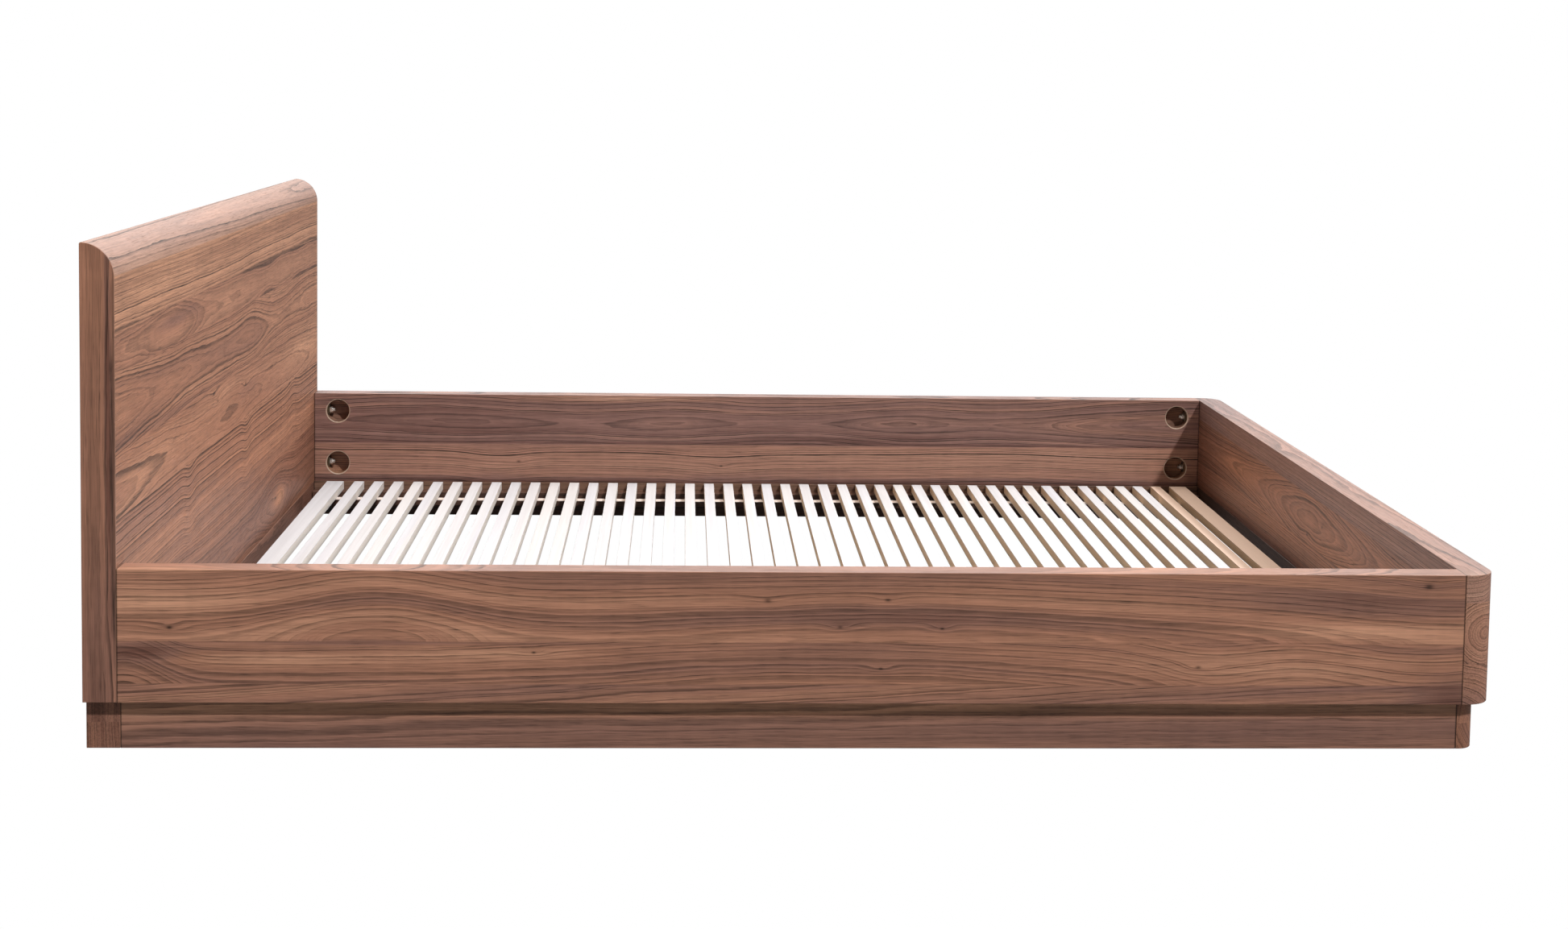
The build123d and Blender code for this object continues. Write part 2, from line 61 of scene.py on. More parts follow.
# ------------------------------------------------------------------ node trees
class Tree:
    """Short calls for a node tree. Values may be numbers, tuples or sockets."""

    def __init__(self, tree):
        self.tree = tree

    def feed(self, socket, value):
        """Links a socket to a socket or sets it to a value. None leaves it as it is."""
        if isinstance(value, bpy.types.NodeSocket):
            self.tree.links.new(value, socket)
        elif value is not None:
            socket.default_value = value

    def add(self, kind, inputs=None, **settings):
        node = self.tree.nodes.new(kind)
        for key, value in settings.items():
            setattr(node, key, value)
        for key, value in (inputs or {}).items():
            self.feed(node.inputs[key], value)
        return node

    def math(self, operation, a, b=None, c=None):
        node = self.add("ShaderNodeMath", operation=operation)
        for socket, value in zip(node.inputs, (a, b, c)):
            self.feed(socket, value)
        return node.outputs[0]

    def swing(self, field, depth, base=0.0):
        """base, plus depth times how far a noise field is above its middle value."""
        return self.math("MULTIPLY_ADD", self.math("SUBTRACT", field, 0.5), depth, base)

    def offset(self, value, centre, reach):
        """How far value is from a centre, in reaches."""
        return self.math("MULTIPLY", self.math("SUBTRACT", value, centre), 1 / reach)

    def bell(self, *offsets):
        """A smooth hill: 1 at the centre, and BELL_AT_REACH where the offsets come to one reach."""
        square = 0.0
        for offset in offsets:
            square = self.math("MULTIPLY_ADD", offset, offset, square)
        return self.math("EXPONENT", self.math("MULTIPLY", square, -1.0))

    def vector(self, operation, a, b=None):
        node = self.add("ShaderNodeVectorMath", operation=operation)
        self.feed(node.inputs[0], a)
        self.feed(node.inputs[1], b)
        return node.outputs["Value" if operation == "LENGTH" else "Vector"]

    def join(self, x, y, z):
        return self.add("ShaderNodeCombineXYZ", {"X": x, "Y": y, "Z": z}).outputs[0]

    def split(self, vector):
        return self.add("ShaderNodeSeparateXYZ", {"Vector": vector}).outputs

    def noise(self, vector, detail, roughness=0.5):
        """Smooth noise with one crest or so per unit of the vector."""
        inputs = {"Vector": vector, "Scale": 1.0, "Detail": detail, "Roughness": roughness}
        return self.add("ShaderNodeTexNoise", inputs).outputs["Fac"]

    def stretched_noise(self, point, stretch, detail, roughness=0.5):
        """Smooth noise with so many crests per metre along each axis."""
        return self.noise(self.vector("MULTIPLY", point, stretch), detail, roughness)

    def noise_1d(self, value, scale, detail):
        inputs = {"W": value, "Scale": scale, "Detail": detail}
        return self.add("ShaderNodeTexNoise", inputs, noise_dimensions="1D").outputs["Fac"]

    def random(self, value):
        return self.add("ShaderNodeTexWhiteNoise", {"W": value}, noise_dimensions="1D").outputs["Value"]

    def ramp(self, value, stops):
        """A colour ramp through (position, colour or grey) stops."""
        node = self.add("ShaderNodeValToRGB", {"Fac": value})
        elements = node.color_ramp.elements
        while len(elements) < len(stops):
            elements.new(0.5)
        for element, (position, colour) in zip(elements, stops):
            element.position = position
            grey = isinstance(colour, (int, float))
            element.color = (colour, colour, colour, 1) if grey else (*colour, 1)
        return node.outputs["Color"]

    def remap(self, value, low, high, to_low=0.0, to_high=1.0):
        """value from low..high to to_low..to_high, smoothly and clamped."""
        inputs = {"Value": value, "From Min": low, "From Max": high, "To Min": to_low, "To Max": to_high}
        return self.add("ShaderNodeMapRange", inputs, interpolation_type="SMOOTHSTEP").outputs[0]

    def mix(self, factor, a, b):
        """Colour a at factor 0, and colour b at factor 1."""
        node = self.add("ShaderNodeMix", data_type="RGBA")
        self.feed(node.inputs[0], factor)
        self.feed(node.inputs[6], a if isinstance(a, bpy.types.NodeSocket) else (*a, 1))
        self.feed(node.inputs[7], b if isinstance(b, bpy.types.NodeSocket) else (*b, 1))
        return node.outputs[2]

    def scaled(self, colour, factor):
        """A colour times a single number."""
        return self.vector("MULTIPLY", colour, self.join(factor, factor, factor))

    def bump(self, height, distance, strength):
        inputs = {"Height": height, "Distance": distance, "Strength": strength}
        return self.add("ShaderNodeBump", inputs).outputs[0]


BELL_AT_REACH = math.exp(-1)


def new_material(name):
    """An empty material, its tree and its own principled shader."""
    material = bpy.data.materials.new(name)
    material.use_nodes = True
    tree = material.node_tree
    tree.nodes.clear()
    graph = Tree(tree)
    shader = graph.add("ShaderNodeBsdfPrincipled")
    output = graph.add("ShaderNodeOutputMaterial")
    tree.links.new(shader.outputs[0], output.inputs["Surface"])
    return material, graph, shader


def object_point(graph):
    """The shaded point in the part's own frame, in metres."""
    return graph.add("ShaderNodeTexCoord").outputs["Object"]


def dress(node, material):
    """Gives a CAD node its material."""
    mesh = NODES[node].data
    mesh.materials.clear()
    mesh.materials.append(material)


# ------------------------------------------------------------------ walnut
WALNUT_LIGHT = (0.475, 0.257, 0.167)
WALNUT_MID = (0.318, 0.155, 0.101)
WALNUT_VIOLET = (0.222, 0.112, 0.084)
WALNUT_DARK = (0.142, 0.063, 0.046)
WARM_TINT = (1.07, 0.95, 0.78)
COOL_TINT = (0.91, 1.00, 1.13)


def walnut_group():
    """The solid figure of one walnut board.

    Point is along the grain, across the board and through it, in metres. Pith gives the heart's place across
    and behind the board, and how many rings the figure climbs per metre. Look is the board's seed, its tone
    from -1 dark to 1 light, and the ring width in metres. Habit is how much the rings wander, how strongly
    their late wood shows, and how warm the wood is from -1 to 1.4. Push adds rings at listed places, for
    eyes and knots, Shade adds light or dark patches, and Knot darkens.
    """
    tree = bpy.data.node_groups.new("walnut figure", "ShaderNodeTree")
    inputs = {"Point": "Vector", "Pith": "Vector", "Look": "Vector", "Habit": "Vector",
              "Push": "Float", "Shade": "Float", "Knot": "Float"}
    outputs = {"Color": "Color", "Roughness": "Float", "Height": "Float"}
    for sockets, way in ((inputs, "INPUT"), (outputs, "OUTPUT")):
        for name, kind in sockets.items():
            tree.interface.new_socket(name, in_out=way, socket_type=f"NodeSocket{kind}")
    g = Tree(tree)
    given = g.add("NodeGroupInput").outputs
    point = given["Point"]
    seed, tone, ring = g.split(given["Look"])
    across, behind, climb = g.split(given["Pith"])
    wild, lines, warm = g.split(given["Habit"])
    u, v, w = g.split(point)
    apart = g.vector("ADD", point, g.vector("MULTIPLY", g.join(seed, seed, seed), (3.7, 1.9, 2.3)))

    # how many rings out from the pith the point is
    from_pith = g.join(g.math("SUBTRACT", v, across), g.math("SUBTRACT", w, behind), 0.0)
    radius = g.math("DIVIDE", g.vector("LENGTH", from_pith), ring)
    rings = g.math("MULTIPLY_ADD", u, climb, radius)
    rings = g.math("ADD", rings, given["Push"])
    long_waves = g.swing(g.stretched_noise(apart, (1.3, 5.0, 5.0), 2.0), 8.0)
    wander = g.swing(g.stretched_noise(apart, (5.0, 22.0, 22.0), 4.0), 2.6, long_waves)
    rings = g.math("MULTIPLY_ADD", wander, wild, rings)
    rings = g.swing(g.stretched_noise(apart, (22.0, 120.0, 120.0), 2.0), 0.30, rings)
    rings = g.swing(g.noise_1d(g.math("ADD", rings, seed), 0.45, 1.0), 2.6, rings)

    # the dark late wood of each ring, and fine lines between
    part = g.math("FRACT", rings)
    number = g.math("FLOOR", rings)
    strength = g.math("MULTIPLY_ADD", g.random(g.math("ADD", number, seed)), 0.75, 0.25)
    strength = g.math("MULTIPLY", strength, lines)
    late = g.ramp(part, [(0, 0.0), (0.35, 0.10), (0.62, 0.38), (0.80, 1.0), (0.94, 0.95), (1.0, 0.0)])
    late = g.math("MULTIPLY", late, strength)
    fine = g.math("FRACT", g.math("MULTIPLY", rings, 3.0))
    fine = g.math("MULTIPLY", g.ramp(fine, [(0, 0.0), (0.7, 0.3), (0.9, 1.0), (1.0, 0.0)]), 0.16)

    # the wood's colour, in bands of rings and in clouds
    zone = g.noise_1d(g.math("MULTIPLY_ADD", seed, 7.3, rings), 0.23, 2.0)
    cloud = g.stretched_noise(apart, (1.8, 12.0, 12.0), 3.0)
    shade = g.swing(cloud, 0.45, g.swing(zone, 0.60, 0.50))
    shade = g.math("MULTIPLY_ADD", tone, 0.30, shade)
    shade = g.math("ADD", shade, given["Shade"])
    tones = [(0.0, WALNUT_DARK), (0.26, WALNUT_VIOLET), (0.52, WALNUT_MID), (0.98, WALNUT_LIGHT)]
    tint = g.mix(g.math("MULTIPLY_ADD", warm, 0.41, 0.41), COOL_TINT, WARM_TINT)
    colour = g.vector("MULTIPLY", g.ramp(shade, tones), tint)

    # fibres, streaks, curl and open vessels change its brightness
    fibre = g.stretched_noise(apart, (10.0, 420.0, 420.0), 3.0, roughness=0.65)
    streak = g.noise_1d(g.math("MULTIPLY", rings, 1.9), 1.0, 3.0)
    curl = g.stretched_noise(apart, (40.0, 8.0, 8.0), 2.0)
    vessel = g.remap(g.stretched_noise(apart, (30.0, 850.0, 850.0), 1.0), 0.58, 0.70)
    bright = g.swing(curl, 0.20, g.swing(streak, 0.60, g.swing(fibre, 1.25, 1.17)))
    for darkening, amount in ((late, 0.66), (fine, 1.0), (vessel, 0.24), (given["Knot"], 0.75)):
        bright = g.math("MULTIPLY_ADD", darkening, -amount, bright)
    bright = g.math("MAXIMUM", bright, 0.08)

    rough = g.math("MULTIPLY_ADD", late, 0.06, 0.42)
    rough = g.math("MULTIPLY_ADD", vessel, 0.14, rough)
    rough = g.swing(cloud, 0.14, rough)
    height = g.math("SUBTRACT", g.math("MULTIPLY", fibre, 0.5), vessel)
    height = g.math("MULTIPLY_ADD", late, 0.25, height)
    out = g.add("NodeGroupOutput")
    g.feed(out.inputs["Color"], g.scaled(colour, bright))
    g.feed(out.inputs["Roughness"], rough)
    g.feed(out.inputs["Height"], height)
    return tree


WALNUT = walnut_group()
AXIS = {"X": 0, "Y": 1, "Z": 2}
TOP = 10.0                       # above every board: the upper edge of a panel's last one
HEART_REACH = 0.022              # the late wood is plainer this close to the heart line
HEART_CALM = 0.6                 # how much of it is gone on that line
EDGE_WEAR_AND_HIGHLIGHT_REACH = 0.0022              # how far from an edge it is paler: rubbed wear, and a painted highlight on the eased edge
BUTT_LINE = (0.0026, 0.0010)     # from a butted end: where its dark line starts, and where it is full
END_GRAIN = (0.044, 0.034)       # from a rounded end: where the grain starts to turn, and where it has
EYE_REACH_ACROSS = 0.3           # wider than a board: an eye ends at its board's edges

RAIL_LOW, RAIL_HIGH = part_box("side_rail_left")
RAIL_INSIDE = RAIL_LOW.y
RAIL_OUTSIDE = RAIL_HIGH.y - 0.002               # just inside the rails' outer faces
FOOT_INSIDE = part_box("footboard")[0].x + 0.0005  # just past the footboard's and the plinth's inner faces
POCKET_FROM_END = 0.053
POCKET_HEIGHTS = (0.117, 0.235)
POCKETS = [(end * (RAIL_HIGH.x - POCKET_FROM_END), height) for end in (-1, 1) for height in POCKET_HEIGHTS]
POCKET_REACH = 0.0255            # just past a bolt pocket's wall
POCKET_TINT = (1.05, 1.04, 0.87)
RIM_REACH = 0.0272               # just past the pocket's chamfer
RIM_DEPTH = RAIL_INSIDE + 0.0016                 # just past the chamfer's inner edge
# a painted highlight: the pocket's chamfered rim, paler all round
RIM_PAINTED_HIGHLIGHT = (0.38, 0.28, 0.21)


def edge_mask(graph, point, box):
    """1 along a box-like piece's edges, and 0 from EDGE_WEAR_AND_HIGHLIGHT_REACH inwards.

    Two faces are near only at an edge, so it goes by the distance to the second nearest face.
    """
    low, high = box
    offset = graph.vector("ABSOLUTE", graph.vector("SUBTRACT", point, tuple((low + high) / 2)))
    a, b, c = graph.split(graph.vector("SUBTRACT", tuple((high - low) / 2), offset))
    nearer = graph.math("MINIMUM", a, b)
    farther = graph.math("MAXIMUM", a, b)
    second = graph.math("MAXIMUM", nearer, graph.math("MINIMUM", farther, c))
    return graph.remap(second, 0.0, EDGE_WEAR_AND_HIGHLIGHT_REACH, 1.0, 0.0)


def board(top, pith, climb, seed, tone, ring, wild, lines, warm):
    """One board of a glued panel: its upper edge, then its figure as walnut_group takes it."""
    return {"top": top, "pith": (*pith, climb), "look": (seed, tone, ring), "habit": (wild, lines, warm)}


def step_through(g, value, boards, key):
    """The vector that each board has under key, chosen by where value lies between their edges."""
    chosen = boards[0][key]
    for lower, upper in zip(boards, boards[1:]):
        change = Vector(upper[key]) - Vector(lower[key])
        passed = g.math("GREATER_THAN", value, lower["top"])
        chosen = g.vector("ADD", chosen, g.vector("MULTIPLY", g.join(passed, passed, passed), tuple(change)))
    return chosen


def dress_walnut(node, grain, across, boards, eyes=(), knots=(), stains_and_painted_light=(), butts=False, pockets=(),
                 hidden=None, cool_ends=False):
    """Gives a node oiled walnut glued from boards, with its grain along one axis.

    eyes are (along, across, half length, rings): places where a board's rings close into long ovals.
    knots are (along, across, radius): pin knots that the rings flow round.
    stains_and_painted_light are (along, across, half length, half width, amount): lighter or darker patches,
    some of them real stains and some painted light or shade.
    butts darkens the two ends that meet other boards.
    pockets are the (along, across) centres of bolt pockets, whose bare walls are a paler olive and whose
    chamfered rims are paler all round as a painted highlight.
    hidden is a distance from the bed's middle: faces nearer to it, under the slats, are darkened as painted
    shade.
    cool_ends makes the grain that turns round the ends greyer than the faces.
    """
    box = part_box(node)
    material, g, shader = new_material(f"walnut {node}")
    point = object_point(g)
    axes = g.split(point)
    through = ({"X", "Y", "Z"} - {grain, across}).pop()
    u, v, w = axes[AXIS[grain]], axes[AXIS[across]], axes[AXIS[through]]
    half_length = max(abs(corner[AXIS[grain]]) for corner in box)
    from_end = g.math("SUBTRACT", half_length, g.math("ABSOLUTE", u))
    from_middle = g.math("ABSOLUTE", w)

    def spot(u0, v0, reach_u, reach_v):
        """A smooth hill round a place on the board."""
        return g.bell(g.offset(u, u0, reach_u), g.offset(v, v0, reach_v))

    def on_board(v0):
        """1 on the board that holds v0, and 0 on its neighbours."""
        below = max((each["top"] for each in boards if each["top"] <= v0), default=-TOP)
        above = min(each["top"] for each in boards if each["top"] > v0)
        return g.math("MULTIPLY", g.math("GREATER_THAN", v, below), g.math("LESS_THAN", v, above))

    def in_bore(u0, v0, radius, depth):
        """1 within a radius of a bore's axis, as far out from the bed's middle as depth."""
        near = g.math("GREATER_THAN", spot(u0, v0, radius, radius), BELL_AT_REACH)
        return g.math("MULTIPLY", near, g.math("LESS_THAN", from_middle, depth))

    push, shade, knot_mark = 0.0, 0.0, 0.0
    for u0, v0, reach, rings in eyes:
        swell = g.math("MULTIPLY", spot(u0, v0, reach, EYE_REACH_ACROSS), on_board(v0))
        push = g.math("MULTIPLY_ADD", swell, rings, push)
    for u0, v0, reach_u, reach_v, amount in stains_and_painted_light:
        shade = g.math("MULTIPLY_ADD", spot(u0, v0, reach_u, reach_v), amount, shade)
    for u0, v0, radius in knots:
        push = g.math("MULTIPLY_ADD", spot(u0, v0, radius * 8, radius * 2.6), 0.9, push)
        knot_mark = g.math("ADD", knot_mark, spot(u0, v0, radius * 1.1, radius * 0.6))

    pith = step_through(g, v, boards, "pith")
    wild, lines, warm = g.split(step_through(g, v, boards, "habit"))
    calm = g.bell(g.offset(v, g.split(pith)[0], HEART_REACH))
    lines = g.math("MULTIPLY", lines, g.math("MULTIPLY_ADD", calm, -HEART_CALM, 1.0))
    if cool_ends:
        warm = g.math("MULTIPLY_ADD", g.remap(from_end, *END_GRAIN), -1.5, warm)

    figure = g.add("ShaderNodeGroup")
    figure.node_tree = WALNUT
    g.feed(figure.inputs["Point"], g.join(u, v, w))
    g.feed(figure.inputs["Pith"], pith)
    g.feed(figure.inputs["Look"], step_through(g, v, boards, "look"))
    g.feed(figure.inputs["Habit"], g.join(wild, lines, warm))
    g.feed(figure.inputs["Push"], push)
    g.feed(figure.inputs["Shade"], shade)
    g.feed(figure.inputs["Knot"], knot_mark)

    wear_and_edge_highlight = edge_mask(g, point, box)
    # the edges are drawn paler: partly rubbed wear, partly a painted highlight on the eased edges
    colour = g.mix(g.math("MULTIPLY", wear_and_edge_highlight, 0.20), figure.outputs["Color"], WALNUT_LIGHT)
    if butts:
        at_end = g.remap(from_end, *BUTT_LINE)
        colour = g.scaled(colour, g.math("MULTIPLY_ADD", at_end, -0.72, 1.0))
    for u0, v0 in pockets:
        wall = in_bore(u0, v0, POCKET_REACH, RAIL_OUTSIDE)
        colour = g.mix(wall, colour, g.vector("MULTIPLY", colour, POCKET_TINT))
        # painted highlight on the chamfered rim
        colour = g.mix(in_bore(u0, v0, RIM_REACH, RIM_DEPTH), colour, RIM_PAINTED_HIGHLIGHT)
    if hidden:
        # painted shade: the inner faces under the slats are darkened
        in_painted_shade = g.math("LESS_THAN", from_middle, hidden)
        colour = g.scaled(colour, g.math("MULTIPLY_ADD", in_painted_shade, -0.65, 1.0))
    g.feed(shader.inputs["Base Color"], colour)
    g.feed(shader.inputs["Roughness"], g.math("MULTIPLY_ADD", wear_and_edge_highlight, -0.08, figure.outputs["Roughness"]))
    g.feed(shader.inputs["Normal"], g.bump(figure.outputs["Height"], 0.00012, 0.6))
    shader.inputs["IOR"].default_value = 1.45
    dress(node, material)


def dress_rails():
    """The two side rails, with the eyes, knots and streaks that mark them."""
    dress_walnut(
        "side_rail_right", "X", "Z",
        [
            board(0.104, (0.30, -0.76), 9.0, 4.1, -0.30, 0.0062, 0.5, 1.0, 0.0),
            board(0.168, (0.075, -0.81), 1.0, 2.3, -0.10, 0.0060, 0.45, 1.0, 0.2),
            board(TOP, (0.165, -0.820), 0.5, 7.7, 0.10, 0.0060, 0.35, 0.90, 0.2),
        ],
        eyes=[
            (-0.630, 0.170, 0.15, -5.5), (0.15, 0.170, 0.35, -2.5), (1.00, 0.170, 0.25, 4.0),
            (-1.00, 0.160, 0.07, -6.0), (0.05, 0.160, 0.45, -5.0), (0.62, 0.160, 0.10, 3.0),
            (0.95, 0.160, 0.15, 3.5),
        ],
        knots=[
            (-0.9325, 0.188, 0.004), (-0.05, 0.232, 0.005), (0.13, 0.233, 0.004), (0.059, 0.192, 0.0035),
            (0.2125, 0.190, 0.003), (0.9525, 0.257, 0.006), (0.6025, 0.132, 0.004), (0.121, 0.129, 0.003),
            (-0.3975, 0.152, 0.003),
        ],
        stains_and_painted_light=[
            (-0.97, 0.152, 0.060, 0.016, -0.45), (-0.93, 0.225, 0.16, 0.040, 0.25),
            (-0.78, 0.140, 0.16, 0.010, 0.35), (-0.46, 0.150, 0.14, 0.010, 0.30),
            (-0.62, 0.166, 0.20, 0.004, -0.35), (0.10, 0.200, 0.30, 0.040, -0.20),
            (0.82, 0.225, 0.22, 0.035, -0.30), (0.80, 0.186, 0.16, 0.012, 0.35),
            (0.74, 0.130, 0.16, 0.020, 0.20), (0.99, 0.090, 0.06, 0.030, -0.35),
            (-0.75, 0.085, 0.30, 0.03, 0.10),
        ],
        butts=True, pockets=POCKETS,
    )
    dress_walnut(
        "side_rail_left", "X", "Z",
        [
            board(0.164, (-0.10, 0.79), 1.0, 5.2, 0.15, 0.0052, 0.35, 1.5, -0.6),
            board(TOP, (0.214, 0.826), 0.6, 9.4, -0.72, 0.0044, 0.95, 1.7, -0.8),
        ],
        eyes=[
            (-0.73, 0.214, 0.22, -3.2), (-0.20, 0.214, 0.20, -3.0), (0.32, 0.214, 0.17, -3.6),
            (1.05, 0.214, 0.38, -9.0), (-0.60, 0.13, 0.08, 2.0), (-0.10, 0.13, 0.10, 1.5),
            (0.55, 0.13, 0.20, -2.0),
        ],
        knots=[(-0.55, 0.123, 0.004), (-0.09, 0.115, 0.003)],
        stains_and_painted_light=[
            (-0.34, 0.268, 0.18, 0.006, 0.65), (-0.70, 0.200, 0.25, 0.04, -0.12),
            # the dark band at height 0.076 is painted shade, where the slats shade the rail's foot
            (0.30, 0.175, 0.30, 0.010, -0.20), (0.0, 0.076, 3.0, 0.014, -0.50),
            (0.0, 0.1655, 3.0, 0.003, -0.35),
        ],
        butts=True, pockets=POCKETS,
    )


def dress_ends():
    """Headboard and footboard."""
    dress_walnut(
        "footboard", "Y", "Z",
        [
            board(0.138, (0.02, 0.99), 1.0, 3.3, 0.05, 0.0050, 0.7, 1.4, 1.35),
            board(0.232, (0.185, 1.045), 0.8, 6.1, 0.08, 0.0052, 0.45, 1.4, 1.35),
            board(TOP, (0.46, 1.0), 0.8, 8.9, -0.15, 0.0050, 0.5, 1.1, -0.9),
        ],
        eyes=[(-0.06, 0.185, 0.30, -8.0)],
        knots=[(-0.13, 0.188, 0.004), (-0.04, 0.155, 0.004)],
        stains_and_painted_light=[
            # the first two are painted shade: the far corner in the footboard's own shadow, and a band along
            # its foot beside the slats
            (0.78, 0.15, 0.20, 0.20, -0.35), (0.10, 0.08, 0.9, 0.03, -0.45), (-0.85, 0.26, 0.02, 0.07, 0.22),
        ],
        cool_ends=True,
    )
    dress_walnut(
        "headboard_panel", "Y", "Z",
        [
            # the bottom board is darker and warmer: partly its own tone, partly painted shade and warm
            # bounce by the slats
            board(0.207, (0.12, -1.060), 2.0, 1.7, -0.95, 0.0044, 0.80, 1.0, 1.4),
            board(0.345, (-0.30, -1.10), 0.6, 5.9, 0.0, 0.0066, 0.32, 1.4, 0.7),
            board(0.441, (0.380, -1.070), 2.5, 3.6, 0.22, 0.0044, 0.85, 1.25, 0.5),
            board(0.560, (0.500, -1.070), 2.5, 8.2, 0.18, 0.0044, 0.85, 1.25, 0.5),
            board(0.624, (0.590, -1.060), 2.0, 2.9, 0.12, 0.0044, 0.80, 1.15, 0.4),
            board(TOP, (1.20, -1.10), 0.4, 6.6, 0.90, 0.0070, 0.34, 1.6, 0.5),
        ],
        eyes=[
            (0.356, 0.13, 0.14, -4.0), (-0.55, 0.13, 0.25, -2.0), (-0.385, 0.30, 0.035, 1.3),
            (0.075, 0.30, 0.035, 1.3), (0.55, 0.30, 0.05, -1.2), (-0.75, 0.40, 0.25, -2.0),
            (-0.08, 0.40, 0.13, -1.2), (0.55, 0.40, 0.16, -1.5), (-0.80, 0.53, 0.25, -2.0),
            (0.1375, 0.53, 0.12, -1.6), (0.75, 0.53, 0.20, -1.6), (-0.49, 0.60, 0.20, -2.2),
            (0.45, 0.60, 0.16, -1.5),
        ],
        knots=[(-0.20, 0.433, 0.005), (-0.17, 0.415, 0.004), (0.069, 0.410, 0.006), (0.356, 0.130, 0.006)],
        stains_and_painted_light=[
            (-0.4875, 0.600, 0.14, 0.013, -0.30), (-0.60, 0.452, 0.35, 0.010, -0.25),
            (0.08, 0.400, 0.10, 0.014, -0.15), (-0.62, 0.40, 0.22, 0.035, 0.15),
            (0.40, 0.125, 0.05, 0.020, 0.5), (0.68, 0.40, 0.20, 0.03, 0.20),
            (-0.55, 0.675, 0.30, 0.020, 0.20), (0.60, 0.675, 0.35, 0.020, -0.15),
        ],
    )
    nosing = board(TOP, (0.40, -1.30), 0.5, 4.8, 0.45, 0.0050, 0.22, 1.2, -1.0)
    dress_walnut("headboard_nosing", "Y", "Z", [nosing])
    for side, seed in (("right", 2.2), ("left", 7.1)):
        dress_walnut(
            f"headboard_lipping_{side}", "Z", "X",
            [board(TOP, (-1.30, 0.0), 0.6, seed, -0.58, 0.0050, 0.25, 1.1, 0.4)],
            stains_and_painted_light=[
                (0.55, -1.020, 0.30, 0.004, -0.60), (0.10, -1.035, 0.20, 0.03, -0.15),
                (0.70, -1.035, 0.25, 0.1, 0.18),
            ],
        )


def dress_plinth():
    """The recessed plinth and the ledges behind it."""
    for side, seed in (("right", 2.2), ("left", 7.1)):
        dress_walnut(
            f"plinth_side_{side}", "X", "Z",
            [board(TOP, (0.30, 0.0), 1.5, seed + 3.0, -0.40, 0.0046, 0.35, 1.0, -0.2)],
            # painted light: a paler band just under the rail, where the rail's overhang casts its shadow
            stains_and_painted_light=[(0.0, 0.064, 9.0, 0.012, 0.75)],
            # hidden: the inner face under the slats gets painted shade
            butts=True, hidden=RAIL_INSIDE,
        )
        ledge = board(TOP, (0.20, 0.0), 1.0, seed + 5.0, -0.60, 0.0050, 0.5, 0.8, 0.3)
        # hidden: the ledges under the slats get painted shade
        dress_walnut(f"slat_ledge_{side}", "X", "Z", [ledge], hidden=RAIL_INSIDE)
    # hidden: the foot plinth's inner face gets painted shade
    for end, seed, tone, hidden in (("head", 1.4, -1.0, None), ("foot", 9.9, -0.45, FOOT_INSIDE)):
        boards = [
            board(0.040, (0.12, 1.2), 1.0, seed, tone, 0.0045, 0.4, 0.9, 0.8),
            board(TOP, (0.02, 1.3), 1.0, seed + 1, tone + 0.05, 0.0045, 0.4, 0.9, 0.6),
        ]
        dress_walnut(f"plinth_{end}", "Y", "Z", boards, hidden=hidden)


# ------------------------------------------------------------------ the other materials
PLIES = 13                       # in a slat's thickness
FOOTBOARD_SHADE_FROM = (0.886, 0.898)    # between the last two narrow slats: from here on the faces are painted a warm tan for the footboard's shadow


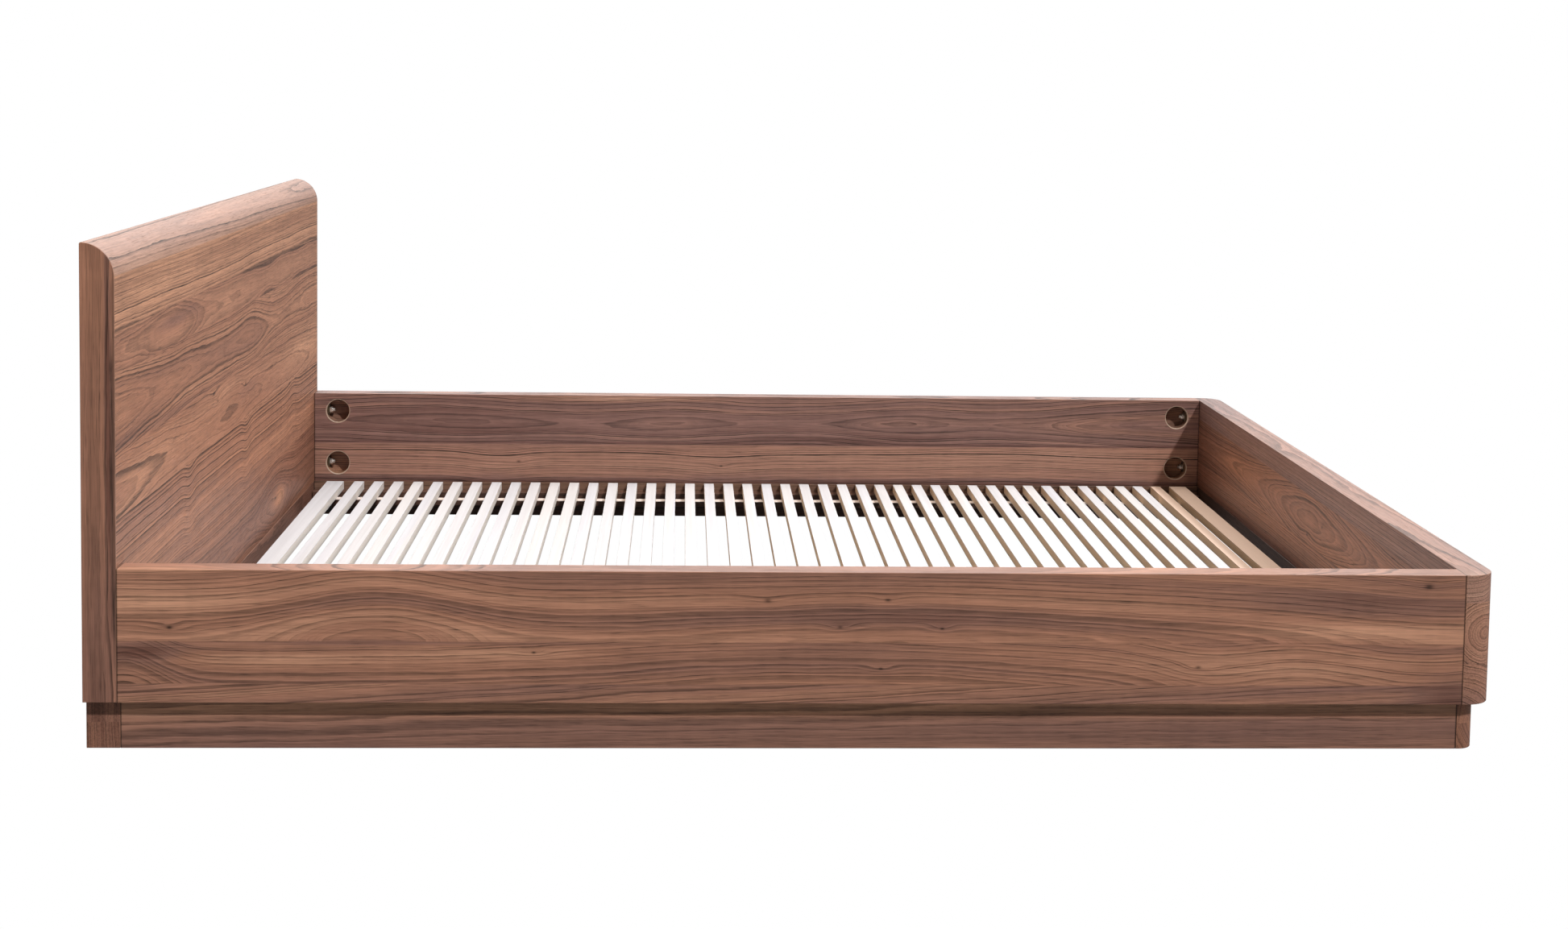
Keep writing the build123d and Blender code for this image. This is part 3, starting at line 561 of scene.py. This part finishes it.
def birch_ply():
    """Sanded birch ply: pale face veneers, and the cut plies on the sides.

    The sides that face the foot are cream and those that face the head a darker tan: painted light and shade
    on the same cut plies.
    The faces are painted a little darker towards the head as painted shade, and the last two slats at the
    foot are painted a warm tan for the footboard's shadow.
    """
    material, g, shader = new_material("birch ply")
    point = object_point(g)
    x, y, z = g.split(point)
    geometry = g.add("ShaderNodeNewGeometry").outputs
    own = geometry["Random Per Island"]
    headward = g.remap(g.split(geometry["True Normal"])[0], 0.3, -0.3)
    low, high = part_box("slats")

    # which ply the point is in, and whether it is on a face or on a cut side
    ply = g.math("MULTIPLY", g.math("SUBTRACT", z, low.z), PLIES / (high.z - low.z))
    ply = g.swing(g.stretched_noise(point, (30, 3, 60), 2), 0.25, ply)
    ply = g.math("MINIMUM", g.math("MAXIMUM", ply, 0.3), PLIES - 0.3)
    number = g.math("FLOOR", ply)
    crossed = g.math("MODULO", number, 2.0)
    glue = g.remap(g.math("ABSOLUTE", g.math("SUBTRACT", g.math("FRACT", ply), 0.5)), 0.40, 0.5)
    inner = g.remap(g.math("ABSOLUTE", g.math("SUBTRACT", ply, PLIES / 2)), PLIES / 2 - 0.9, PLIES / 2 - 1.0)

    # the face veneer, with each slat a little different
    moved = g.join(g.math("MULTIPLY_ADD", own, 9.0, x), y, z)
    along = g.remap(g.stretched_noise(moved, (110, 2.0, 110), 4), 0.25, 0.75)
    face = g.mix(along, (0.72, 0.715, 0.73), (0.65, 0.635, 0.645))
    face = g.mix(own, face, g.vector("MULTIPLY", face, (0.945, 0.970, 1.03)))
    # painted shade: the faces darker towards the head
    face = g.scaled(face, g.remap(x, -0.95, 0.30, 0.86, 1.0))
    # painted shade: the last slats, in the footboard's shadow, in a warm tan
    face = g.mix(g.remap(x, *FOOTBOARD_SHADE_FROM), face, (0.72, 0.55, 0.45))

    # painted light and shade: sides facing the head are a darker tan, sides facing the foot a lit cream
    tan = g.mix(g.random(g.math("MULTIPLY_ADD", own, 50.0, number)), (0.92, 0.66, 0.42), (1.0, 0.80, 0.57))
    tan = g.mix(g.math("MULTIPLY", crossed, 0.55), tan, (0.52, 0.30, 0.17))
    cream = g.mix(g.math("MULTIPLY", crossed, 0.5), (0.90, 0.885, 0.87), (0.80, 0.74, 0.68))
    side = g.mix(headward, cream, tan)
    side = g.mix(g.math("MULTIPLY", glue, 0.35), side, (0.24, 0.13, 0.07))

    fibre = g.stretched_noise(point, (900, 14, 900), 3)
    colour = g.scaled(g.mix(inner, face, side), g.swing(fibre, 0.16, 1.0))
    g.feed(shader.inputs["Base Color"], colour)
    g.feed(shader.inputs["Roughness"], g.math("MULTIPLY_ADD", fibre, 0.15, 0.52))
    g.feed(shader.inputs["Normal"], g.bump(g.math("SUBTRACT", fibre, glue), 0.0001, 0.5))
    return material


def plain_timber():
    """Planed beech for the hidden beam and dowels: pink-brown with short flecks."""
    material, g, shader = new_material("beech")
    point = object_point(g)
    grain = g.stretched_noise(point, (2.5, 60, 60), 4)
    fleck = g.stretched_noise(point, (130, 900, 900), 1)
    colour = g.mix(g.remap(grain, 0.3, 0.7), (0.50, 0.31, 0.19), (0.36, 0.21, 0.12))
    colour = g.mix(g.math("MULTIPLY", g.remap(fleck, 0.62, 0.72), 0.5), colour, (0.24, 0.12, 0.07))
    g.feed(shader.inputs["Base Color"], colour)
    g.feed(shader.inputs["Roughness"], g.math("MULTIPLY_ADD", grain, 0.15, 0.48))
    g.feed(shader.inputs["Normal"], g.bump(fleck, 0.0001, 0.4))
    return material


def steel(name, colour, roughness, metallic):
    """Plated or painted steel with fine handling scratches and a slightly cloudy finish."""
    material, g, shader = new_material(name)
    point = object_point(g)
    cloud = g.stretched_noise(point, (90, 90, 90), 4)
    scratch = g.stretched_noise(point, (2400, 300, 900), 2)
    g.feed(shader.inputs["Base Color"], g.scaled(colour, g.swing(cloud, 0.30, 1.0)))
    g.feed(shader.inputs["Roughness"], g.swing(scratch, 0.22, roughness))
    g.feed(shader.inputs["Normal"], g.bump(scratch, 0.00003, 0.4))
    shader.inputs["Metallic"].default_value = metallic
    return material


def moulded_plastic():
    """Black plastic with a fine moulded grain and a dusty bloom."""
    material, g, shader = new_material("black plastic")
    point = object_point(g)
    grain = g.stretched_noise(point, (1400, 1400, 1400), 2)
    bloom = g.stretched_noise(point, (60, 60, 60), 4)
    colour = g.mix(g.remap(bloom, 0.45, 0.75), (0.020, 0.020, 0.021), (0.045, 0.044, 0.042))
    g.feed(shader.inputs["Base Color"], colour)
    g.feed(shader.inputs["Roughness"], g.math("MULTIPLY_ADD", grain, 0.18, 0.42))
    g.feed(shader.inputs["Normal"], g.bump(grain, 0.00005, 0.6))
    return material


def woven_tape():
    """Unbleached cotton tape: a herringbone of warp and weft threads."""
    material, g, shader = new_material("cotton tape")
    x, y, z = g.split(object_point(g))
    thread = 0.0009
    row = g.math("MULTIPLY", y, 1 / thread)
    side = g.math("PINGPONG", row, 6.0)
    turn = g.math("MULTIPLY_ADD", x, 1 / thread, side)
    warp_thread = g.math("ABSOLUTE", g.math("SINE", g.math("MULTIPLY", row, math.pi)))
    weft_thread = g.math("ABSOLUTE", g.math("SINE", g.math("MULTIPLY", turn, math.pi)))
    weave = g.math("MULTIPLY", warp_thread, g.math("MULTIPLY_ADD", weft_thread, 0.6, 0.4))
    slub = g.noise(g.join(g.math("MULTIPLY", x, 40.0), g.math("MULTIPLY", y, 900.0), z), 3)
    colour = g.mix(weave, (0.50, 0.42, 0.38), (0.76, 0.68, 0.64))
    colour = g.scaled(colour, g.math("MULTIPLY_ADD", slub, 0.25, 0.88))
    g.feed(shader.inputs["Base Color"], colour)
    g.feed(shader.inputs["Roughness"], g.math("MULTIPLY_ADD", weave, -0.1, 0.95))
    g.feed(shader.inputs["Normal"], g.bump(weave, 0.00025, 0.7))
    return material


def dress_others():
    """The slats, tapes, beam and hardware, each by its slot in the record; the washers are bronzed."""
    by_slot = {
        "birch_ply": birch_ply(),
        "beech": plain_timber(),
        "zinc_plated_steel": steel("zinc plated steel", (0.74, 0.72, 0.67), 0.28, metallic=0.85),
        "pressed_steel": steel("black coated steel", (0.03, 0.03, 0.032), 0.45, metallic=0.0),
        "black_plastic": moulded_plastic(),
        "cotton_tape": woven_tape(),
    }
    for row in frame["record"]["subparts"]:
        if row["material_slot"] in by_slot:
            dress(row["node"], by_slot[row["material_slot"]])
    dress("half_moon_washers", steel("bronzed steel", (0.12, 0.095, 0.06), 0.42, metallic=0.8))


# ------------------------------------------------------------------ stage
FLOOR_HALF = 60
FLOOR_DROP = 0.002               # the matt floor lies this far under the bed
FLOOR = (0.22, 0.215, 0.205)
# painted shade: the matt floor is dark under the bed, so little light bounces up under the slats
UNDER_BED = (0.05, 0.045, 0.04)
UNDER_BED_X = (0.95, 1.10)       # from the middle: where the dark under the bed fades out
UNDER_BED_Y = (0.75, 0.90)


def sheet_mesh(name, half):
    """A square level plane round the origin."""
    mesh = bpy.data.meshes.new(name)
    corners = [(-half, -half, 0), (half, -half, 0), (half, half, 0), (-half, half, 0)]
    mesh.from_pydata(corners, [], [(0, 1, 2, 3)])
    obj = bpy.data.objects.new(name, mesh)
    bpy.context.scene.collection.objects.link(obj)
    return obj


def glow(name, colour, strength):
    """A plain emitting material."""
    material = bpy.data.materials.new(name)
    material.use_nodes = True
    tree = material.node_tree
    tree.nodes.clear()
    g = Tree(tree)
    emission = g.add("ShaderNodeEmission", {"Color": (*colour, 1), "Strength": strength})
    g.feed(g.add("ShaderNodeOutputMaterial").inputs["Surface"], emission.outputs[0])
    return material


def make_stage():
    """A white sweep that only the camera sees, and a matt floor that sends light back up round the bed."""
    seen = sheet_mesh("floor_seen", FLOOR_HALF)
    seen.data.materials.append(glow("white sweep", (1, 1, 1), 1.0))
    seen.visible_diffuse = False
    seen.visible_glossy = False
    seen.visible_shadow = False
    bounce = sheet_mesh("floor_bounce", FLOOR_HALF)
    bounce.location.z = -FLOOR_DROP
    matt, g, shader = new_material("matt floor")
    x, y, z = g.split(object_point(g))
    out_x = g.remap(g.math("ABSOLUTE", x), *UNDER_BED_X)
    out_y = g.remap(g.math("ABSOLUTE", y), *UNDER_BED_Y)
    # painted shade under the bed
    g.feed(shader.inputs["Base Color"], g.mix(g.math("MAXIMUM", out_x, out_y), UNDER_BED, FLOOR))
    shader.inputs["Roughness"].default_value = 1.0
    bounce.data.materials.append(matt)
    bounce.visible_camera = False
    bounce.visible_glossy = False


# ------------------------------------------------------------------ light
AMBIENT = 0.07
AMBIENT_FROM_ABOVE = 5.6
AMBIENT_FROM_FOOT = 3.2
AMBIENT_FROM_BEHIND = 0.35
AMBIENT_TINT = (1.0, 0.955, 0.89)
ABOVE_TINT = (1.0, 0.93, 0.84)
HEAD_TINT = (1.0, 0.78, 0.58)
GLOSS_DARK = 0.15
GLOSS_LOW = 0.60
GLOSS_HIGH = 1.5
KEY_FROM = Vector((0.382, -0.573, 0.725))
KEY_STRENGTH = 2.72
KEY_ANGLE = 3                    # degrees


def make_key():
    """A distant light from above the foot end, on the right side."""
    data = bpy.data.lights.new("key", "SUN")
    data.energy = KEY_STRENGTH
    data.angle = math.radians(KEY_ANGLE)
    sun = bpy.data.objects.new("key", data)
    sun.rotation_mode = "QUATERNION"
    sun.rotation_quaternion = KEY_FROM.to_track_quat("Z", "Y")
    bpy.context.scene.collection.objects.link(sun)


def make_surround():
    """A dim world with patches of light and a bright wall for the sheen, and white to the camera.

    x, y and z are where the light comes from: x from the foot, y from the left side and z from above.
    """
    world = bpy.data.worlds.new("surround")
    world.use_nodes = True
    g = Tree(world.node_tree)
    x, y, z = g.split(g.add("ShaderNodeTexCoord").outputs["Generated"])

    # what the matt surfaces get
    from_head = g.remap(x, -0.1, -0.6)
    above = g.remap(z, 0.88, 0.98)
    behind = g.math("MULTIPLY", g.remap(y, 0.0, 0.6), g.remap(z, 0.35, 0.15))
    behind = g.math("MAXIMUM", behind, g.math("MULTIPLY", from_head, g.remap(z, 0.75, 0.55)))
    foot = g.math("MULTIPLY", g.remap(x, 0.2, 0.5), g.remap(y, -0.10, 0.10))
    foot = g.math("MULTIPLY", foot, g.math("MULTIPLY", g.remap(z, 0.0, 0.1), g.remap(z, 0.70, 0.55)))
    matt = g.math("MULTIPLY_ADD", above, AMBIENT_FROM_ABOVE, AMBIENT)
    matt = g.math("MULTIPLY_ADD", foot, AMBIENT_FROM_FOOT, matt)
    matt = g.math("MULTIPLY_ADD", behind, AMBIENT_FROM_BEHIND, matt)
    tint = g.mix(above, g.mix(from_head, AMBIENT_TINT, HEAD_TINT), ABOVE_TINT)

    # what shows in the sheen: a wall on the left side
    low_wall = g.math("MULTIPLY", g.remap(z, 0.0, 0.10), GLOSS_LOW)
    wall = g.math("MULTIPLY_ADD", g.remap(z, 0.14, 0.32), GLOSS_HIGH, low_wall)
    gloss = g.math("MULTIPLY_ADD", wall, g.remap(y, -0.1, 0.5), GLOSS_DARK)

    path = g.add("ShaderNodeLightPath").outputs
    is_gloss, is_camera = path["Is Glossy Ray"], path["Is Camera Ray"]
    strength = g.math("MULTIPLY_ADD", is_gloss, g.math("SUBTRACT", gloss, matt), matt)
    strength = g.math("MULTIPLY_ADD", is_camera, g.math("SUBTRACT", 1.0, strength), strength)
    background = world.node_tree.nodes["Background"]
    g.feed(background.inputs["Strength"], strength)
    g.feed(background.inputs["Color"], g.mix(g.math("MAXIMUM", is_gloss, is_camera), tint, (1, 1, 1)))
    bpy.context.scene.world = world


make_camera()
dress_rails()
dress_ends()
dress_plinth()
dress_others()
make_stage()
make_surround()
make_key()
bpy.context.scene.view_settings.view_transform = "Standard"
